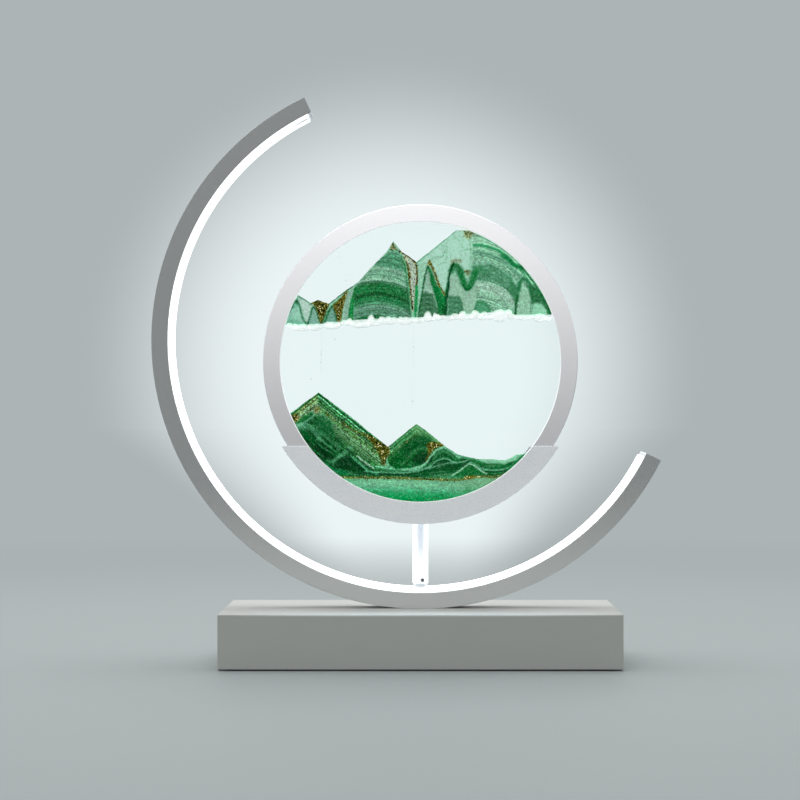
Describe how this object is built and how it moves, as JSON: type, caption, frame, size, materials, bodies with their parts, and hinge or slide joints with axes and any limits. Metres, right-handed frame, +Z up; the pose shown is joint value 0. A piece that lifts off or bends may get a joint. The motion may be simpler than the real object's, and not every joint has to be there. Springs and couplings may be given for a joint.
{
  "type": "rotating sand motion lamp",
  "caption": "C-shaped light bar on a box base, with a crescent cradle holding a round turning sand picture on a short lit post",
  "frame": {"origin": "centre of the anti-slip pad's underside, on the surface the lamp stands on", "axes": "+X to the right seen from the front, +Y away from the front, +Z up"},
  "size_m": [0.2595, 0.0916, 0.288],
  "materials": {
    "white_housing": "matte",
    "cover_steel": "satin",
    "foam_pad": "matte",
    "plain_steel": "satin",
    "circuit_board": "satin",
    "black_plastic": "satin",
    "white_plastic": "satin",
    "aluminium_can": "satin",
    "bar_aluminium": "satin",
    "milky_diffuser": "satin",
    "soft_plug": "satin",
    "strip_film": "satin",
    "led_package": "gloss",
    "lead_jacket": "matte",
    "lit_post": "satin",
    "clear_collar": "gloss",
    "cradle_paint": "matte",
    "felt": "matte",
    "ring_plastic": "satin",
    "clear_glass": "polished",
    "gasket_silicone": "satin",
    "green_sand": "matte",
    "clear_liquid": "gloss"
  },
  "bodies": {
    "stand": {"base_shell": "white_housing", "base_cover": "cover_steel", "antislip_pad": "foam_pad", "cover_screws": "plain_steel", "ballast_plates": "plain_steel", "board_screws": "plain_steel", "power_inlet": "plain_steel", "clamp_plate": "plain_steel", "bar_screws": "plain_steel", "post_bolt": "plain_steel", "post_grub_screw": "plain_steel", "cradle_screw": "plain_steel", "driver_board": "circuit_board", "driver_chip": "black_plastic", "inductor": "black_plastic", "inlet_tongue": "black_plastic", "switch_body": "black_plastic", "lead_connector": "white_plastic", "filter_capacitor": "aluminium_can", "arc_channel": "bar_aluminium", "arc_diffuser": "milky_diffuser", "end_plug_upper": "soft_plug", "end_plug_lower": "soft_plug", "led_strip_long": "strip_film", "led_strip_short": "strip_film", "led_chips": "led_package", "arc_lead": "lead_jacket", "strip_jumper": "lead_jacket", "post": "lit_post", "post_foot": "clear_collar", "cradle": "cradle_paint", "cradle_liner": "felt"},
    "picture": {"ring_front": "ring_plastic", "ring_back": "ring_plastic", "ring_screws": "plain_steel", "glass_front": "clear_glass", "glass_back": "clear_glass", "cell_gasket": "gasket_silicone", "fill_plug": "gasket_silicone", "sand_upper": "green_sand", "sand_lower": "green_sand", "liquid": "clear_liquid"},
    "button": {"button_cap": "white_plastic", "switch_plunger": "white_plastic"}
  },
  "joints": [
    {"name": "picture_spin", "type": "hinge", "parent": "stand", "child": "picture", "pos_m": [0, 0, 0.1533], "axis": [0, -1, 0], "continuous": true},
    {"name": "button_press", "type": "slide", "parent": "stand", "child": "button", "axis": [0, -1, 0], "range_m": [0, 0.0012], "stiffness_N_per_m": 800}
  ]
}
